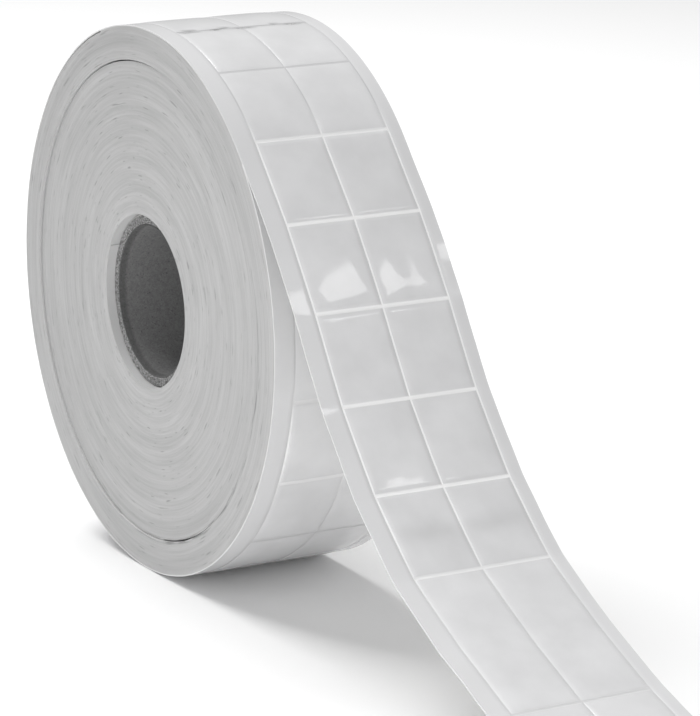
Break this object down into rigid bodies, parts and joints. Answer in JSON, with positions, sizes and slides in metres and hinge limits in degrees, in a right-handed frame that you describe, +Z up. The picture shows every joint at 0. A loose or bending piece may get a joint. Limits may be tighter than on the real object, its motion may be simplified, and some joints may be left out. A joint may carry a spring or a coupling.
{
  "type": "roll of embossed tape",
  "caption": "Roll of glossy embossed PVC tape with welded rectangular cells, wound on a cardboard core, with a free tail that lies down to the floor.",
  "frame": {"origin": "middle of the core's bore, on the roll's axis", "axes": "+X along the roll's axis, -Y the way the tail runs, +Z up"},
  "size_m": [0.0505, 0.3483, 0.1538],
  "materials": {
    "tape_film": "glossy embossed film",
    "tape_backing": "satin",
    "wound_edge": "satin, fine lines round the roll",
    "core_board": "grey board",
    "start_strip": "matte"
  },
  "bodies": {
    "outer_turn": {"outer_turns": "wound_edge", "outer_turn_backing": "tape_backing", "outer_turn_film": "tape_film"},
    "wound_core": {"core_liner": "core_board", "core_ply_1": "core_board", "core_ply_2": "core_board", "core_ply_3": "core_board", "core_ply_4": "core_board", "core_wrap": "core_board", "core_start_strip": "start_strip", "inner_turns": "wound_edge"},
    "tail_1": {"tail_1_backing": "tape_backing", "tail_1_film": "tape_film"},
    "tail_2": {"tail_2_backing": "tape_backing", "tail_2_film": "tape_film"},
    "tail_3": {"tail_3_backing": "tape_backing", "tail_3_film": "tape_film"},
    "tail_4": {"tail_4_backing": "tape_backing", "tail_4_film": "tape_film"},
    "tail_5": {"tail_5_backing": "tape_backing", "tail_5_film": "tape_film"}
  },
  "joints": [
    {"name": "roll_spin", "type": "hinge", "parent": "outer_turn", "child": "wound_core", "pos_m": [0, 0, 0], "axis": [-1, 0, 0], "continuous": true},
    {"name": "tail_peel", "type": "hinge", "parent": "outer_turn", "child": "tail_1", "pos_m": [0, -0.05747, 0.05084], "axis": [-1, 0, 0], "range_deg": [0, 35]},
    {"name": "tail_curl", "type": "hinge", "parent": "tail_1", "child": "tail_2", "pos_m": [0, -0.08741, 0.01334], "axis": [-1, 0, 0], "range_deg": [-30, 30]},
    {"name": "tail_curl_3", "type": "hinge", "parent": "tail_2", "child": "tail_3", "pos_m": [0, -0.11823, -0.02768], "axis": [-1, 0, 0], "range_deg": [-25, 25]},
    {"name": "tail_curl_4", "type": "hinge", "parent": "tail_3", "child": "tail_4", "pos_m": [0, -0.16061, -0.05614], "axis": [-1, 0, 0], "range_deg": [-16, 16]},
    {"name": "tail_curl_5", "type": "hinge", "parent": "tail_4", "child": "tail_5", "pos_m": [0, -0.20894, -0.07349], "axis": [-1, 0, 0], "range_deg": [-19, 19]}
  ],
  "couplings": [
    {"joint": "tail_curl_3", "follows": "tail_curl", "ratio": 0.8},
    {"joint": "tail_curl_4", "follows": "tail_curl", "ratio": 0.5},
    {"joint": "tail_curl_5", "follows": "tail_curl", "ratio": 0.6}
  ]
}
